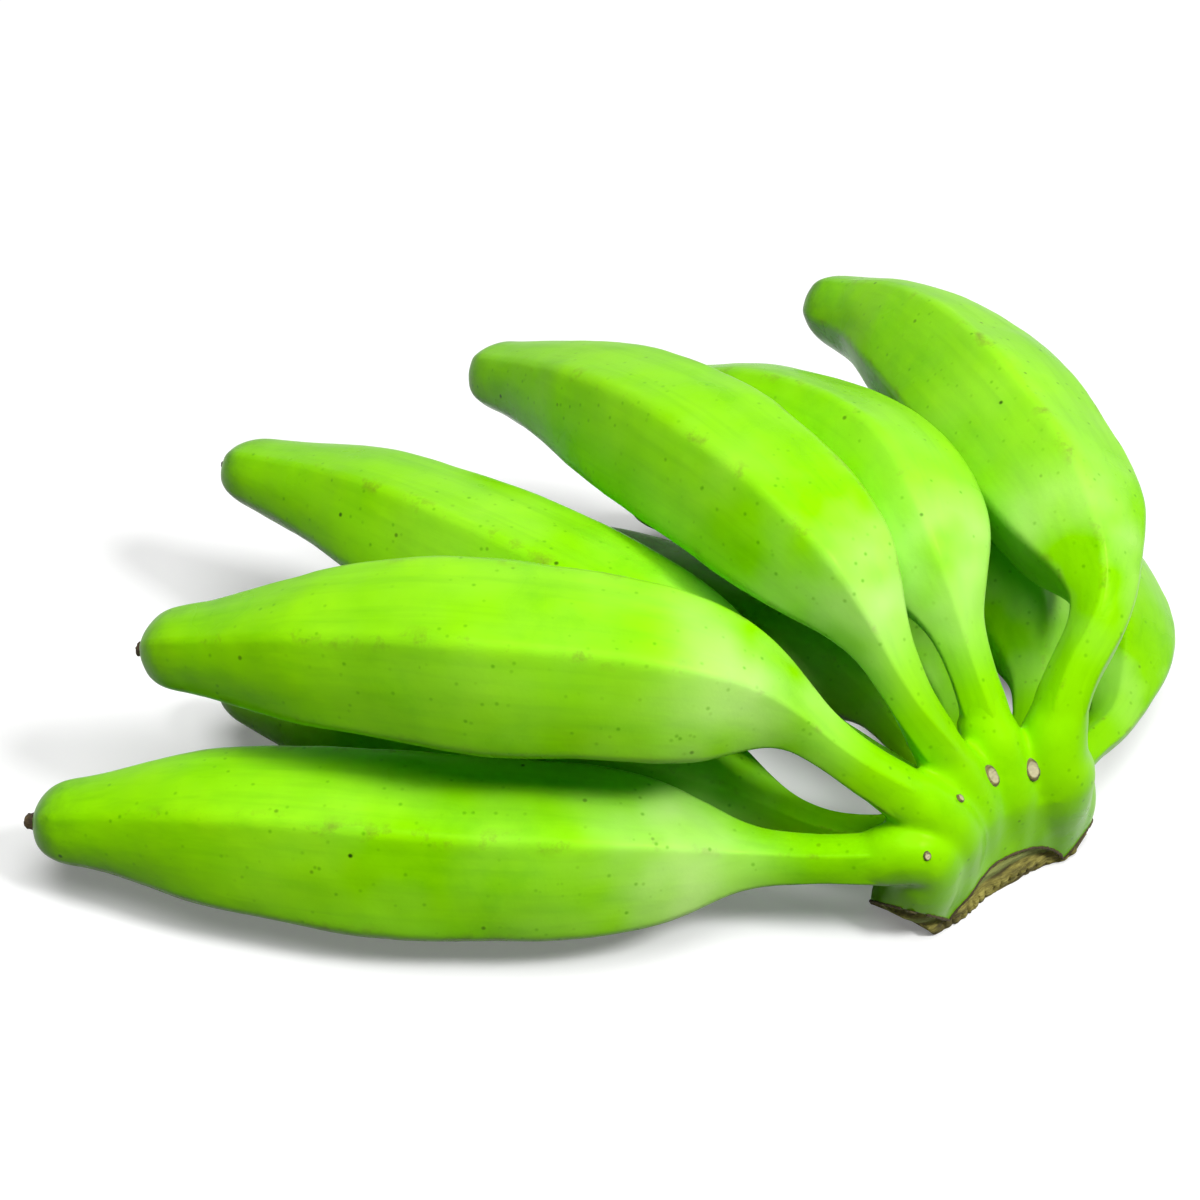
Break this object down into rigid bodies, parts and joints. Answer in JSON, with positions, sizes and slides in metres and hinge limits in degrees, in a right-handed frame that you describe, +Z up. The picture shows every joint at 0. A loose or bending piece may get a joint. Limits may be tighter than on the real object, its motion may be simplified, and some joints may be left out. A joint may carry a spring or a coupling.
{
  "type": "bunch of green cooking bananas",
  "caption": "Hand of green, ridged cooking bananas lying on its side: long curved fingers in two fanned rows on one cut crown.",
  "frame": {"origin": "middle of the hand's bounding box, on the surface it lies on", "axes": "+Z up; the crown is at +X and -Y; the fingers at the front of the fan point along -X and those at its back along +Y, and all of them curl towards -X"},
  "size_m": [0.2795, 0.1975, 0.0976],
  "materials": {
    "peel": "waxy and satin, with dark specks and a pale bloom on the shoulders",
    "crown_skin": "smooth waxy skin, satin",
    "dried_cut": "dried and fibrous, matt, dark at the rim",
    "dried_stub": "dried and shrivelled, matt"
  },
  "bodies": {
    "root": {"crown": "crown_skin", "crown_cut": "dried_cut", "finger_upper_1": "peel", "finger_upper_2": "peel", "finger_upper_3": "peel", "finger_upper_4": "peel", "finger_upper_5": "peel", "finger_lower_1": "peel", "finger_lower_2": "peel", "finger_lower_3": "peel", "finger_lower_4": "peel", "finger_lower_5": "peel", "finger_lower_6": "peel", "flower_stub_upper_1": "dried_stub", "flower_stub_upper_2": "dried_stub", "flower_stub_upper_3": "dried_stub", "flower_stub_upper_4": "dried_stub", "flower_stub_upper_5": "dried_stub", "flower_stub_lower_1": "dried_stub", "flower_stub_lower_2": "dried_stub", "flower_stub_lower_3": "dried_stub", "flower_stub_lower_4": "dried_stub", "flower_stub_lower_5": "dried_stub", "flower_stub_lower_6": "dried_stub"}
  },
  "joints": []
}
